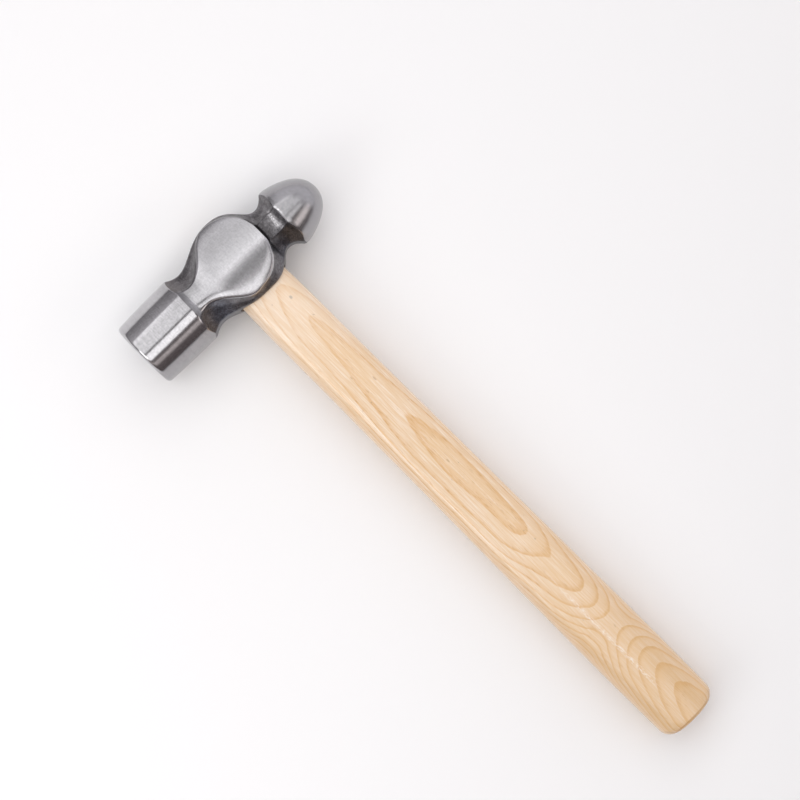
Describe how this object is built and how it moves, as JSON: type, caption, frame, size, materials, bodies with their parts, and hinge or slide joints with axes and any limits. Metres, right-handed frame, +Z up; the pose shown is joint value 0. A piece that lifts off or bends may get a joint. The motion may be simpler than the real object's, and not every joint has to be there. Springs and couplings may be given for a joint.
{
  "type": "ball peen hammer",
  "caption": "Ball peen hammer with a forged steel head, round striking face, domed cheeks, bullet-shaped peen and an oval ash handle wedged in the eye.",
  "frame": {"origin": "middle of the lower cheek's flat, which the hammer lies on", "axes": "+X along the head from the striking face to the peen, +Y from the butt of the handle to the crown of the head, +Z up out of the upper cheek"},
  "size_m": [0.1272, 0.3594, 0.0404],
  "materials": {
    "forged_steel": "ground bright on barrel, cheeks and peen; dark forging scale in the necks and round the eye",
    "ash": "clear lacquer, satin, with open brown grain",
    "beech": "sawn end grain, bare",
    "mild_steel": "bare, dull"
  },
  "bodies": {
    "root": {"head": "forged_steel", "handle": "ash", "wooden_wedge": "beech", "steel_wedge_face_side": "mild_steel", "steel_wedge_peen_side": "mild_steel"}
  },
  "joints": []
}
